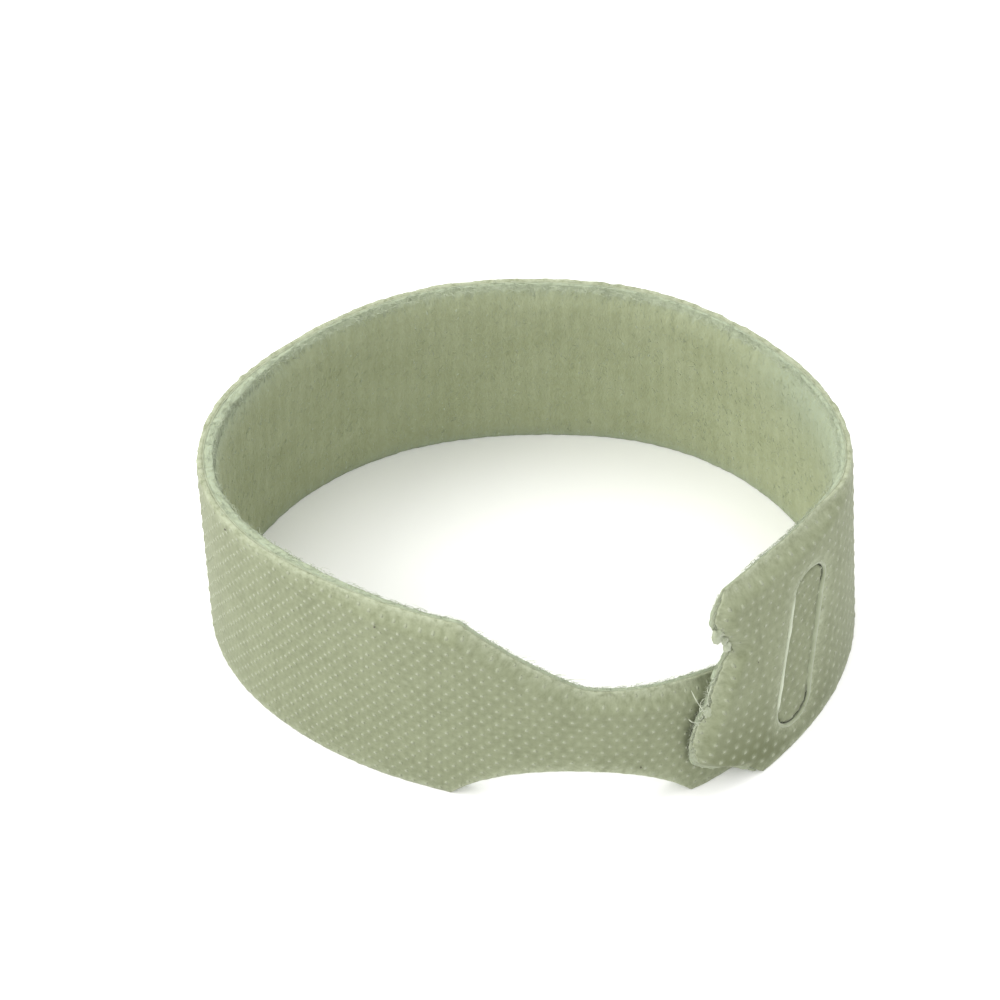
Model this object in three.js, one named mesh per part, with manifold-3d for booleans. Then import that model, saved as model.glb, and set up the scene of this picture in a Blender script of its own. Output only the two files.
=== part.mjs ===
// Wrist strap of back-to-back hook-and-loop tape, closed into an oval ring and standing on its lower rim.
// Millimetres, +Z up. The strap is die-cut flat, then wrapped once round: its narrow tail lies inside,
// and its slotted head lies over the tail, at the front right.
//
// A place on the strap is given by three numbers:
//   along   distance from the full-width corner beside the neck; the tail is negative
//   across  height above the strap's lower rim
//   out     distance outward from the middle of the strap's thickness
import * as THREE from 'three';
import Module from 'manifold-3d';

const manifold = await Module();
manifold.setup();

// Driving dimensions of the strap
const STRAP_WIDTH = 25.4;
const HOOK_THICKNESS = 0.65;
const FILM_THICKNESS = 0.1;
const PILE_THICKNESS = 1.05;
const PLY_GAP = 0.12;
const OVERLAP_GAP = 0.3;
const SPLIT_GAP = 0.3;
const STRAP_THICKNESS = HOOK_THICKNESS + FILM_THICKNESS + PILE_THICKNESS + 2 * PLY_GAP;

// Where the strap bends apart, along its length
const TAIL_TIP = -50;
const TAIL_HINGE = -12.5;
const PEEL_HINGE = 121.5;
const HEAD_HINGE = 128.2;

// The neck and the tail's outline
const NECK_CORNER = 0;
const BARB_CORNER = -24.2;
const NECK_DEPTH = 6;
const LOW_SHOULDER = -32.2;
const TAB_SHOULDER = -36;
const TAB_TOP = 21.4;

// The slot in the head
const SLOT_LENGTH = 19;
const SLOT_WIDTH = 5.2;
const SLOT_ALONG = 135.3;
const SLOT_ACROSS = 11.6;
const SLOT_TILT = THREE.MathUtils.degToRad(17.9);

// The ring that the strap is wrapped into: one row for each 30 degrees round its middle,
// anticlockwise from +X. A negative lean tips the strap's upper rim inward.
const RING_ROWS = [
  { radius: 31.2, lean: -1.5 },
  { radius: 28.8, lean: -7.5 },
  { radius: 25.6, lean: -6.5 },
  { radius: 23.2, lean: -5 },
  { radius: 25.5, lean: -4.5 },
  { radius: 29.8, lean: -5.5 },
  { radius: 34.2, lean: 2.5 },
  { radius: 27.3, lean: -2.5 },
  { radius: 23.1, lean: -1 },
  { radius: 22.7, lean: -1.5 },
  { radius: 26.2, lean: -7.5 },
  { radius: 27.5, lean: -12 },
];
const NECK_AZIMUTH = THREE.MathUtils.degToRad(-111);
const RING_STEPS = 1440;

// Upper edge of the neck and tail, and the torn edge of the head, as [along, across] points
const TAIL_UPPER_EDGE = [
  [TAIL_TIP, 16.4],
  [-48.3, 19],
  [-45.8, 20.6],
  [-42, 21.3],
  [TAB_SHOULDER, TAB_TOP],
  [-34.2, 17],
  [LOW_SHOULDER, 11.9],
  [-29.8, 12.6],
  [-24.7, 14.1],
  [-19.3, 15.2],
  [-14.7, 16.1],
  [-12.5, 16.8],
  [-8.4, 19.5],
  [-4.4, 22.4],
  [-0.4, STRAP_WIDTH],
];
const TORN_EDGE = [
  [143, 0],
  [144.9, 1.9],
  [147.8, 3.4],
  [149.5, 4.9],
  [149.8, 7],
  [149.2, 9.5],
  [147.7, 11.8],
  [146.8, 14],
  [145.6, 16],
  [144.3, 17.6],
  [144.9, 19.2],
  [145.9, 21],
  [146, 23],
  [145.4, 24.4],
  [144.2, STRAP_WIDTH],
];

// Smooth closed curve through the ring's rows: uniform cubic blend of four neighbours
function ringValue(key, azimuth) {
  const count = RING_ROWS.length;
  const turn = azimuth / (2 * Math.PI);
  const place = (turn - Math.floor(turn)) * count;
  const row = Math.floor(place);
  const f = place - row;
  const at = (i) => RING_ROWS[(row + i + count) % count][key];
  return (
    at(-1) * (1 - f) ** 3 +
    at(0) * (3 * f ** 3 - 6 * f ** 2 + 4) +
    at(1) * (-3 * f ** 3 + 3 * f ** 2 + 3 * f + 1) +
    at(2) * f ** 3
  ) / 6;
}

function ringPlan(azimuth) {
  const radius = ringValue('radius', azimuth);
  return new THREE.Vector2(radius * Math.cos(azimuth), radius * Math.sin(azimuth));
}

// Distance round the ring, clockwise seen from above, for each small turn from the neck corner
const ringDistance = [0];
for (let i = 1; i <= RING_STEPS; i += 1) {
  const here = ringPlan(NECK_AZIMUTH - (i / RING_STEPS) * 2 * Math.PI);
  const before = ringPlan(NECK_AZIMUTH - ((i - 1) / RING_STEPS) * 2 * Math.PI);
  ringDistance.push(ringDistance[i - 1] + here.distanceTo(before));
}
const RING_LENGTH = ringDistance[RING_STEPS];

function azimuthAt(along) {
  const wraps = Math.floor(along / RING_LENGTH);
  const rest = along - wraps * RING_LENGTH;
  let low = 0;
  let high = RING_STEPS;
  while (high - low > 1) {
    const middle = (low + high) >> 1;
    if (ringDistance[middle] > rest) high = middle;
    else low = middle;
  }
  const part = (rest - ringDistance[low]) / (ringDistance[high] - ringDistance[low]);
  return NECK_AZIMUTH - (wraps + (low + part) / RING_STEPS) * 2 * Math.PI;
}

// The strap spirals outward by one thickness, so that its head clears its own tail
function spiralOffset(along) {
  const turn = THREE.MathUtils.clamp(along / (RING_LENGTH + TAIL_TIP), 0, 1);
  return (STRAP_THICKNESS + OVERLAP_GAP) * (THREE.MathUtils.smoothstep(turn, 0, 1) - 0.5);
}

// Directions at a place along the strap: forward along it, outward and level, and up its width
function strapFrame(along) {
  const azimuth = azimuthAt(along);
  const small = 0.001;
  const ahead = ringPlan(azimuth - small);
  const behind = ringPlan(azimuth + small);
  const forward = new THREE.Vector3(ahead.x - behind.x, ahead.y - behind.y, 0).normalize();
  const outward = new THREE.Vector3(-forward.y, forward.x, 0);
  const lean = THREE.MathUtils.degToRad(ringValue('lean', azimuth));
  const upward = new THREE.Vector3(0, 0, Math.cos(lean)).addScaledVector(outward, Math.sin(lean));
  const middle = ringPlan(azimuth);
  const foot = new THREE.Vector3(middle.x, middle.y, 0).addScaledVector(outward, spiralOffset(along));
  return { foot, forward, outward, upward };
}

function strapPoint(along, across, out) {
  const { foot, outward, upward } = strapFrame(along);
  return foot.addScaledVector(upward, across).addScaledVector(outward, out);
}

// Straight-line reading of an edge given by points in order of `from`
function readEdge(points, from, to, value) {
  if (value <= points[0][from]) return points[0][to];
  for (let i = 1; i < points.length; i += 1) {
    const [a, b] = [points[i - 1], points[i]];
    if (value <= b[from]) return a[to] + ((b[to] - a[to]) * (value - a[from])) / (b[from] - a[from]);
  }
  return points[points.length - 1][to];
}

const roundedUpperEdge = new THREE.SplineCurve(TAIL_UPPER_EDGE.map(([x, y]) => new THREE.Vector2(x, y)))
  .getPoints(84)
  .map((point) => [point.x, Math.min(point.y, STRAP_WIDTH)]);

function upperEdge(along) {
  return readEdge(roundedUpperEdge, 0, 1, along);
}

// The neck's lower edge is one round arc between its two full-width corners
function lowerEdge(along) {
  const half = (NECK_CORNER - BARB_CORNER) / 2;
  const fromMiddle = along - (NECK_CORNER + BARB_CORNER) / 2;
  if (Math.abs(fromMiddle) >= half) return 0;
  const radius = (half ** 2 + NECK_DEPTH ** 2) / (2 * NECK_DEPTH);
  return NECK_DEPTH - radius + Math.sqrt(radius ** 2 - fromMiddle ** 2);
}

// Columns of [along, across] places that cover one stretch of the strap
function stretchGrid(from, to, step, rows, corners = []) {
  const count = Math.ceil((to - from) / step);
  const stations = Array.from({ length: count + 1 }, (_, i) => from + ((to - from) * i) / count);
  for (const corner of corners) {
    const nearest = stations.reduce((a, b) => (Math.abs(b - corner) < Math.abs(a - corner) ? b : a));
    stations[stations.indexOf(nearest)] = corner;
  }
  return stations.map((along) => {
    const [low, high] = [lowerEdge(along), upperEdge(along)];
    return Array.from({ length: rows + 1 }, (_, j) => [along, low + ((high - low) * j) / rows]);
  });
}

// Columns that run from a straight cut to the torn edge
function tornGrid(from, columns) {
  return Array.from({ length: columns + 1 }, (_, i) =>
    TORN_EDGE.map(([end, across]) => [from + ((end - from) * i) / columns, across]),
  );
}

// A closed solid of one ply: the grid's places on its outer and inner faces, joined round the border
function plyGeometry(grid, outer, inner) {
  const rows = grid[0].length;
  const faceSize = grid.length * rows;
  const positions = [];
  for (const out of [outer, inner]) {
    for (const column of grid) {
      for (const [along, across] of column) positions.push(...strapPoint(along, across, out).toArray());
    }
  }
  const face = [];
  for (let i = 0; i + 1 < grid.length; i += 1) {
    for (let j = 0; j + 1 < rows; j += 1) {
      const corner = i * rows + j;
      face.push([corner, corner + 1, corner + rows]);
      face.push([corner + rows, corner + 1, corner + rows + 1]);
    }
  }
  const directed = new Set(face.flatMap(([a, b, c]) => [`${a}>${b}`, `${b}>${c}`, `${c}>${a}`]));
  const index = face.flatMap(([a, b, c]) => [a, b, c, a + faceSize, c + faceSize, b + faceSize]);
  for (const edge of directed) {
    const [a, b] = edge.split('>').map(Number);
    if (!directed.has(`${b}>${a}`)) index.push(b, a, a + faceSize, b, a + faceSize, b + faceSize);
  }
  const geometry = new THREE.BufferGeometry();
  geometry.setAttribute('position', new THREE.Float32BufferAttribute(positions, 3));
  geometry.setIndex(index);
  return geometry;
}

// A prism with round ends, standing square to the head where the slot is. Its top tilts back along the strap.
function slotCutter() {
  const radius = SLOT_WIDTH / 2;
  const reach = SLOT_LENGTH / 2 - radius;
  const depth = 8;
  const outline = new THREE.Shape();
  outline.absarc(0, reach, radius, 0, Math.PI, false);
  outline.absarc(0, -reach, radius, Math.PI, 2 * Math.PI, false);
  outline.closePath();
  const prism = new THREE.ExtrudeGeometry(outline, { depth, curveSegments: 8, bevelEnabled: false });
  prism.translate(0, 0, -depth / 2);
  prism.rotateZ(-SLOT_TILT);
  const { forward, upward } = strapFrame(SLOT_ALONG);
  const facing = new THREE.Vector3().crossVectors(upward, forward);
  const stand = new THREE.Matrix4().makeBasis(forward.negate(), upward, facing);
  stand.setPosition(strapPoint(SLOT_ALONG, SLOT_ACROSS, 0));
  return prism.applyMatrix4(stand);
}

function toManifold(geometry) {
  const merged = new Map();
  const vertices = [];
  const source = geometry.getAttribute('position');
  const order = geometry.index
    ? [...geometry.index.array]
    : Array.from({ length: source.count }, (_, i) => i);
  const triangles = order.map((i) => {
    const point = [source.getX(i), source.getY(i), source.getZ(i)].map(Math.fround);
    const key = point.map((value) => value.toFixed(4)).join();
    if (!merged.has(key)) {
      merged.set(key, merged.size);
      vertices.push(...point);
    }
    return merged.get(key);
  });
  const mesh = new manifold.Mesh({
    numProp: 3,
    vertProperties: new Float32Array(vertices),
    triVerts: new Uint32Array(triangles),
  });
  return new manifold.Manifold(mesh);
}

function cutGeometry(geometry, cutter) {
  const { vertProperties, triVerts } = toManifold(geometry).subtract(toManifold(cutter)).getMesh();
  const result = new THREE.BufferGeometry();
  result.setAttribute('position', new THREE.Float32BufferAttribute(vertProperties, 3));
  result.setIndex([...triVerts]);
  return result;
}

// The three plies, outermost first
const outerFace = STRAP_THICKNESS / 2;
const filmFace = outerFace - HOOK_THICKNESS - PLY_GAP;
const pileFace = filmFace - FILM_THICKNESS - PLY_GAP;
const PLIES = [
  {
    name: 'hook_ply',
    outer: outerFace,
    inner: outerFace - HOOK_THICKNESS,
    material: new THREE.MeshStandardMaterial({ color: 0xa3a984, roughness: 0.75, metalness: 0 }),
  },
  {
    name: 'bond_film',
    outer: filmFace,
    inner: filmFace - FILM_THICKNESS,
    material: new THREE.MeshStandardMaterial({ color: 0xc9ceb4, roughness: 0.5, metalness: 0 }),
  },
  {
    name: 'pile_ply',
    outer: pileFace,
    inner: pileFace - PILE_THICKNESS,
    material: new THREE.MeshStandardMaterial({ color: 0x939b7b, roughness: 0.95, metalness: 0 }),
  },
];

const halfSplit = SPLIT_GAP / 2;
const TAIL_CORNERS = [TAB_SHOULDER, LOW_SHOULDER, BARB_CORNER];
const STRETCHES = [
  { name: 'tail', grid: stretchGrid(TAIL_TIP, TAIL_HINGE - halfSplit, 2.2, 2, TAIL_CORNERS) },
  { name: 'band', grid: stretchGrid(TAIL_HINGE + halfSplit, PEEL_HINGE - halfSplit, 2.4, 2, [NECK_CORNER]) },
  { name: 'head_root', grid: stretchGrid(PEEL_HINGE + halfSplit, HEAD_HINGE - halfSplit, 2.2, 2) },
  { name: 'head_tip', grid: tornGrid(HEAD_HINGE + halfSplit, 8), slotted: true },
];

const strap = new THREE.Group();
for (const stretch of STRETCHES) {
  const pieces = new THREE.Group();
  for (const ply of PLIES) {
    const whole = plyGeometry(stretch.grid, ply.outer, ply.inner);
    const geometry = stretch.slotted ? cutGeometry(whole, slotCutter()) : whole;
    geometry.computeVertexNormals();
    const mesh = new THREE.Mesh(geometry, ply.material.clone());
    mesh.name = `${stretch.name}_${ply.name}`;
    pieces.add(mesh);
  }
  strap.add(pieces);
}

// The origin is under the middle of the ring, on the plane that it stands on
const middle = new THREE.Box3().setFromObject(strap).getCenter(new THREE.Vector3());
strap.position.set(-middle.x, -middle.y, 0);

export default strap;
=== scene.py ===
"""Looks for a wrist strap of back-to-back hook-and-loop tape, closed into an oval ring.

The strap is three layers: a hook tape outside, a bond film, and a brushed pile tape inside.
A place on it is (along, across, out) in millimetres, as in the CAD: distance along the strap from the
corner beside its neck, height above its lower rim, and distance outward from the middle of its thickness.
"""

import math

import bpy
import numpy as np
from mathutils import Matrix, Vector
from mathutils.geometry import delaunay_2d_cdt

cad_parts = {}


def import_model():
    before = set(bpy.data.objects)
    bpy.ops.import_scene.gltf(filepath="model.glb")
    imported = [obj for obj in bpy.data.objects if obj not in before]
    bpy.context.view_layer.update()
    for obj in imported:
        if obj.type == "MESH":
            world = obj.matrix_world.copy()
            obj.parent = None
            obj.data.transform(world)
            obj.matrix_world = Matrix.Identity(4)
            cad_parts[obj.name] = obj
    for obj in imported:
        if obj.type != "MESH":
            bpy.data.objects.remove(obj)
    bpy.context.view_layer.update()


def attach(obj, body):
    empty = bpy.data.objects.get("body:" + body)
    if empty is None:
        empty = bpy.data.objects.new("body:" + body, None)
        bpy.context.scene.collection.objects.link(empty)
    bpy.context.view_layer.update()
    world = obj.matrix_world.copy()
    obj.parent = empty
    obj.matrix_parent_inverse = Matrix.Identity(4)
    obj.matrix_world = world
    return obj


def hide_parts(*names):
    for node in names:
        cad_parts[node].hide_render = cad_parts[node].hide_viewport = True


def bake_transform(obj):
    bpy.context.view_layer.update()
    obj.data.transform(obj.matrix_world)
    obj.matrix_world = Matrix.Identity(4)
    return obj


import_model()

# ------------ the strap's shape, as in the CAD

MM = 0.001
WIDTH = 25.4
THICKNESS = 2.04
OVERLAP_GAP = 0.3
TAIL_TIP, BARB_CORNER, NECK_CORNER = -50.0, -24.2, 0.0
NECK_DEPTH = 6.0
SLOT_CENTRE = np.array([135.3, 11.6])
SLOT_LENGTH, SLOT_WIDTH = 19.0, 5.2
SLOT_TILT = math.radians(17.9)
NECK_AZIMUTH = math.radians(-111)
ORIGIN = np.array([0.188625, -1.186411, 0.0])  # where the ring's middle stands in the part's frame
RING_STEPS = 1440

# One row for each 30 degrees round the ring, anticlockwise from +X: radius, and lean in degrees
RING_RADIUS = np.array([31.2, 28.8, 25.6, 23.2, 25.5, 29.8, 34.2, 27.3, 23.1, 22.7, 26.2, 27.5])
RING_LEAN = np.array([-1.5, -7.5, -6.5, -5, -4.5, -5.5, 2.5, -2.5, -1, -1.5, -7.5, -12])

# Upper edge of the neck and tail, and the torn edge of the head, as (along, across)
TAIL_UPPER_EDGE = np.array(
    [
        (-50, 16.4), (-48.3, 19), (-45.8, 20.6), (-42, 21.3), (-36, 21.4), (-34.2, 17), (-32.2, 11.9),
        (-29.8, 12.6), (-24.7, 14.1), (-19.3, 15.2), (-14.7, 16.1), (-12.5, 16.8), (-8.4, 19.5),
        (-4.4, 22.4), (-0.4, 25.4),
    ]
)
TORN_EDGE = np.array(
    [
        (143, 0), (144.9, 1.9), (147.8, 3.4), (149.5, 4.9), (149.8, 7), (149.2, 9.5), (147.7, 11.8),
        (146.8, 14), (145.6, 16), (144.3, 17.6), (144.9, 19.2), (145.9, 21), (146, 23), (145.4, 24.4),
        (144.2, 25.4),
    ]
)

# Layers, as distances outward from the middle of the strap's thickness
HOOK_FACE, HOOK_BACK = 1.0, 0.36
FILM_FACE, FILM_BACK = 0.37, 0.25
PILE_BACK, PILE_FACE = 0.26, -1.0

# Where one stretch of the strap meets the next: the seams lie where the ring turns away from view
LEFT_SEAM, RIGHT_SEAM, HEAD_SEAM = 33.0, 114.0, 125.0
HEAD_END = 152.0

RIB_PITCH = 1.58
MOST_THINNED = 1.05  # how much of the pile's thickness its upper rim may lose

# How the hooks' weave is pulled: along, pitch, climb of its rows, height of a row, lean of its columns
WEAVE = np.array(
    [
        (-50, 1.50, 0.30, 1.03, 0), (-14, 1.50, 0.25, 1.03, 0), (-6, 1.45, 0.12, 1.03, 0),
        (2, 1.40, 0, 1.03, 0), (8, 1.30, 0.10, 1.03, 0), (14, 1.08, 0.30, 1.03, 0),
        (30, 1.08, 0.30, 1.03, 0), (38, 1.45, 0, 1.03, 0), (114, 1.45, 0, 1.03, 0),
        (124, 1.35, 0.23, 1.30, 0.17), (152, 1.35, 0.23, 1.30, 0.17),
    ]
)
HOOK_PITCH = 1.45
HOOK_DOT = (0.30, 0.34)  # how far the pale dot under a hook reaches along and across


def smooth(t):
    t = np.clip(t, 0, 1)
    return t * t * (3 - 2 * t)


def ring_value(rows, azimuth):
    """Smooth closed curve through the ring's rows: uniform cubic blend of four neighbours."""
    place = np.mod(azimuth / (2 * math.pi), 1.0) * len(rows)
    row = np.floor(place).astype(int)
    f = place - row
    at = lambda i: rows[(row + i) % len(rows)]
    return (
        at(-1) * (1 - f) ** 3
        + at(0) * (3 * f**3 - 6 * f**2 + 4)
        + at(1) * (-3 * f**3 + 3 * f**2 + 3 * f + 1)
        + at(2) * f**3
    ) / 6


def ring_plan(azimuth):
    """The ring's middle line seen from above, in millimetres."""
    radius = ring_value(RING_RADIUS, azimuth)
    return np.stack([radius * np.cos(azimuth), radius * np.sin(azimuth)], -1)


RING_TURNS = np.linspace(0, 1, RING_STEPS + 1)
RING_LINE = ring_plan(NECK_AZIMUTH - RING_TURNS * 2 * math.pi)
RING_DISTANCE = np.concatenate([[0], np.cumsum(np.linalg.norm(np.diff(RING_LINE, axis=0), axis=1))])
RING_LENGTH = RING_DISTANCE[-1]


def azimuth_at(along):
    wraps = np.floor(along / RING_LENGTH)
    turn = np.interp(along - wraps * RING_LENGTH, RING_DISTANCE, RING_TURNS)
    return NECK_AZIMUTH - (wraps + turn) * 2 * math.pi


def strap_points(places):
    """Points in the part's frame, in metres, of (along, across, out) places in millimetres."""
    along, across, out = np.asarray(places, float).T
    out = settle(along, across, out)
    azimuth = azimuth_at(along)
    small = 0.001
    forward = ring_plan(azimuth - small) - ring_plan(azimuth + small)
    forward /= np.linalg.norm(forward, axis=1, keepdims=True)
    outward = np.stack([-forward[:, 1], forward[:, 0]], -1)
    lean = np.radians(ring_value(RING_LEAN, azimuth))
    spiral = (THICKNESS + OVERLAP_GAP) * (smooth(along / (RING_LENGTH + TAIL_TIP)) - 0.5)
    plan = ring_plan(azimuth) + outward * (spiral + out + across * np.sin(lean))[:, None]
    return (np.column_stack([plan, across * np.cos(lean)]) + ORIGIN) * MM


def strap_point(along, across, out=0.0):
    return Vector(strap_points([(along, across, out)])[0])


def spline(points, count):
    """Points along a Catmull-Rom curve through the given ones."""
    padded = np.vstack([2 * points[0] - points[1], points, 2 * points[-1] - points[-2]])
    place = np.linspace(0, len(points) - 1, count)
    i = np.minimum(place.astype(int), len(points) - 2)
    t = (place - i)[:, None]
    a, b, c, d = (padded[i + k] for k in range(4))
    return 0.5 * (2 * b + (c - a) * t + (2 * a - 5 * b + 4 * c - d) * t**2 + (3 * b - a - 3 * c + d) * t**3)


UPPER_CURVE = spline(TAIL_UPPER_EDGE.astype(float), 160)
TORN_CURVE = spline(TORN_EDGE.astype(float), 160)


def upper_edge(along):
    return np.minimum(np.interp(along, UPPER_CURVE[:, 0], UPPER_CURVE[:, 1]), WIDTH)


def lower_edge(along):
    """Height of the lower edge: flat, but for one round arc under the neck."""
    half = (NECK_CORNER - BARB_CORNER) / 2
    radius = (half**2 + NECK_DEPTH**2) / (2 * NECK_DEPTH)
    from_middle = np.abs(along - (NECK_CORNER + BARB_CORNER) / 2)
    arc = NECK_DEPTH - radius + np.sqrt(np.maximum(radius**2 - from_middle**2, 0))
    return np.where(from_middle < half, arc, 0.0)


def torn_edge(across):
    return np.interp(across, TORN_CURVE[:, 1], TORN_CURVE[:, 0])


SLOT_AXIS = np.array([-math.sin(SLOT_TILT), math.cos(SLOT_TILT)])
SLOT_SIDE = np.array([SLOT_AXIS[1], -SLOT_AXIS[0]])
SLOT_REACH = (SLOT_LENGTH - SLOT_WIDTH) / 2


def from_slot(along, across):
    """Distance outside the slot's outline; negative inside it."""
    p = np.stack([along, across], -1) - SLOT_CENTRE
    t = np.clip(p @ SLOT_AXIS, -SLOT_REACH, SLOT_REACH)
    return np.linalg.norm(p - t[..., None] * SLOT_AXIS, axis=-1) - SLOT_WIDTH / 2


def from_edge(along, across):
    """Distance to the nearest cut or torn edge."""
    near = np.minimum(across - lower_edge(along), upper_edge(along) - across)
    near = np.minimum(near, along - TAIL_TIP)
    near = np.minimum(near, torn_edge(across) - along)
    return np.where(along > 120, np.minimum(near, from_slot(along, across)), near)


SLOT_PRESS, SLOT_SINK = 1.85, 0.28
TEAR_TAPER, TEAR_THINNING = 2.2, 0.62
RIM_TAPER, RIM_THINNING = 2.0, 0.7
STRAP_BACK = -1.0
HEAD_START = 124


def settle(along, across, out):
    """Where a layer comes to lie: the tail swells into the slot, and the head thins at its tear and top."""
    inside = -from_slot(along + RING_LENGTH, across)
    depth = np.clip((out - PILE_FACE) / (HOOK_FACE - PILE_FACE), 0, 1.2)
    swell = np.where(along < -25, SLOT_PRESS * smooth((inside + 0.12) / 0.42) * depth, 0.0)
    on_head = smooth((along - HEAD_START) / 6)
    sink = on_head * SLOT_SINK * np.exp(-np.maximum(from_slot(along, across), 0) / 0.8) * depth
    near_tear = TEAR_THINNING * smooth(1 - (torn_edge(across) - along) / TEAR_TAPER)
    near_tear = near_tear * smooth(across / 4)
    near_top = RIM_THINNING * smooth(1 - (upper_edge(along) - across) / RIM_TAPER)
    at_neck = smooth((24 - along) / 22)
    thinning = np.maximum(on_head * np.maximum(near_tear, near_top), 0.8 * at_neck * near_top)
    return STRAP_BACK + (out - STRAP_BACK) * (1 - thinning) + swell - sink


# ------------ seeded noise

NOISE_SIDE = 128
NOISE_TABLE = np.random.default_rng(7).random((NOISE_SIDE, NOISE_SIDE))


def noise(x, y, layer=0):
    """Smooth noise from -1 to 1, with features one unit wide."""
    x, y = np.asarray(x) + 17.37 * layer, np.asarray(y) + 31.71 * layer
    i, j = np.floor(x).astype(int), np.floor(y).astype(int)
    u, v = smooth(x - i), smooth(y - j)
    at = lambda a, b: NOISE_TABLE[(i + a) % NOISE_SIDE, (j + b) % NOISE_SIDE]
    low = at(0, 0) * (1 - u) + at(1, 0) * u
    high = at(0, 1) * (1 - u) + at(1, 1) * u
    return 2 * (low * (1 - v) + high * v) - 1


def cloud(x, y, layer=0, octaves=3):
    total, size = 0.0, 0.0
    for k in range(octaves):
        total = total + noise(x * 2**k, y * 2**k, layer + k) * 0.5**k
        size += 0.5**k
    return total / size


# ------------ flat cuts

ROWS = 88
STEP = 0.28


class Flat:
    """A stretch laid flat: (along, across) places, faces that go round anticlockwise, and seams."""

    def __init__(self, places, faces, seams):
        self.places, self.faces, self.seams = places, faces, seams

    def area(self):
        total = 0.0
        for block in self.faces:
            p = self.places[block]
            q = np.roll(p, -1, axis=1)
            total += 0.5 * (p[..., 0] * q[..., 1] - q[..., 0] * p[..., 1]).sum()
        return total * MM * MM


def stretch_flat(start, end, seams, step=STEP):
    count = math.ceil((end - start) / step)
    along = np.linspace(start, end, count + 1)
    share = np.linspace(0, 1, ROWS + 1)
    low, high = lower_edge(along), upper_edge(along)
    across = low[:, None] + (high - low)[:, None] * share
    places = np.stack([np.broadcast_to(along[:, None], across.shape), across], -1).reshape(-1, 2)
    i, j = np.meshgrid(np.arange(count), np.arange(ROWS), indexing="ij")
    a = (i * (ROWS + 1) + j).ravel()
    quads = np.stack([a, a + ROWS + 1, a + ROWS + 2, a + 1], -1)
    return Flat(places, [quads], seams)


def evenly(points, step):
    """The line again, with its points about a step apart."""
    far = np.concatenate([[0], np.cumsum(np.linalg.norm(np.diff(points, axis=0), axis=1))])
    at = np.linspace(0, far[-1], max(2, round(far[-1] / step)) + 1)
    return np.stack([np.interp(at, far, points[:, k]) for k in range(2)], -1)


def slot_loop(grow, step):
    radius = SLOT_WIDTH / 2 + grow
    turns = np.linspace(0, math.pi, 24)
    cap = np.stack([radius * np.cos(turns), SLOT_REACH + radius * np.sin(turns)], -1)
    loop = np.vstack([cap, -cap, cap[:1]])
    loop = evenly(SLOT_CENTRE + loop[:, :1] * SLOT_SIDE + loop[:, 1:] * SLOT_AXIS, step)
    return loop[:-1]


def head_flat(reach, ragged, layer, grow=0.0, step=STEP):
    """The head laid flat: its torn edge stands `reach` beyond the CAD's, ragged, and its slot is open."""
    torn = TORN_CURVE.copy()
    torn[:, 1] = np.clip(torn[:, 1], 0, WIDTH)
    torn = evenly(torn, step * 0.8)
    fade = smooth(np.minimum(torn[:, 1], WIDTH - torn[:, 1]) / 1.0)
    torn[:, 0] += reach + ragged * fade * cloud(torn[:, 1] / 0.9, torn[:, 0] / 0.9, layer)
    side = np.column_stack([np.full(ROWS + 1, HEAD_SEAM), np.linspace(WIDTH, 0, ROWS + 1)])
    bottom = evenly(np.array([(HEAD_SEAM, 0), torn[0]]), step)
    top = evenly(np.array([torn[-1], (HEAD_SEAM, WIDTH)]), step)
    outline = np.vstack([side[:-1], bottom[:-1], torn[:-1], top[:-1]])
    slot = slot_loop(grow, step)
    first = step * 0.6
    along, across = np.meshgrid(np.arange(HEAD_SEAM + first, HEAD_END, step), np.arange(first, WIDTH, step))
    inner = np.stack([along.ravel(), across.ravel()], -1)
    limit = lambda p: np.interp(p[:, 1], torn[:, 1], torn[:, 0]) - p[:, 0]
    open_slot = lambda p: from_slot(p[:, 0], p[:, 1]) - grow
    clear = (limit(inner) > 0.5 * step) & (open_slot(inner) > 0.45 * step)
    inner = inner[clear & (inner[:, 1] < WIDTH - 0.4 * step)]
    n, m = len(outline), len(slot)
    edges = [(i, (i + 1) % n) for i in range(n)] + [(n + i, n + (i + 1) % m) for i in range(m)]
    given = [Vector(p) for p in np.vstack([outline, slot, inner])]
    points, _, faces, *_ = delaunay_2d_cdt(given, edges, [], 0, 1e-6)
    points = np.array([tuple(p) for p in points])
    triangles = np.array([tuple(f) for f in faces])
    middle = points[triangles].mean(axis=1)
    triangles = triangles[(limit(middle) > 0) & (open_slot(middle) > 0)]
    a, b, c = (points[triangles[:, k]] for k in range(3))
    turn = (b[:, 0] - a[:, 0]) * (c[:, 1] - a[:, 1]) - (b[:, 1] - a[:, 1]) * (c[:, 0] - a[:, 0])
    triangles[turn < 0] = triangles[turn < 0][:, ::-1]
    used, triangles = np.unique(triangles[np.abs(turn) > 1e-9], return_inverse=True)
    return Flat(points[used], [triangles.reshape(-1, 3)], [HEAD_SEAM])


# ------------ meshes


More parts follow.
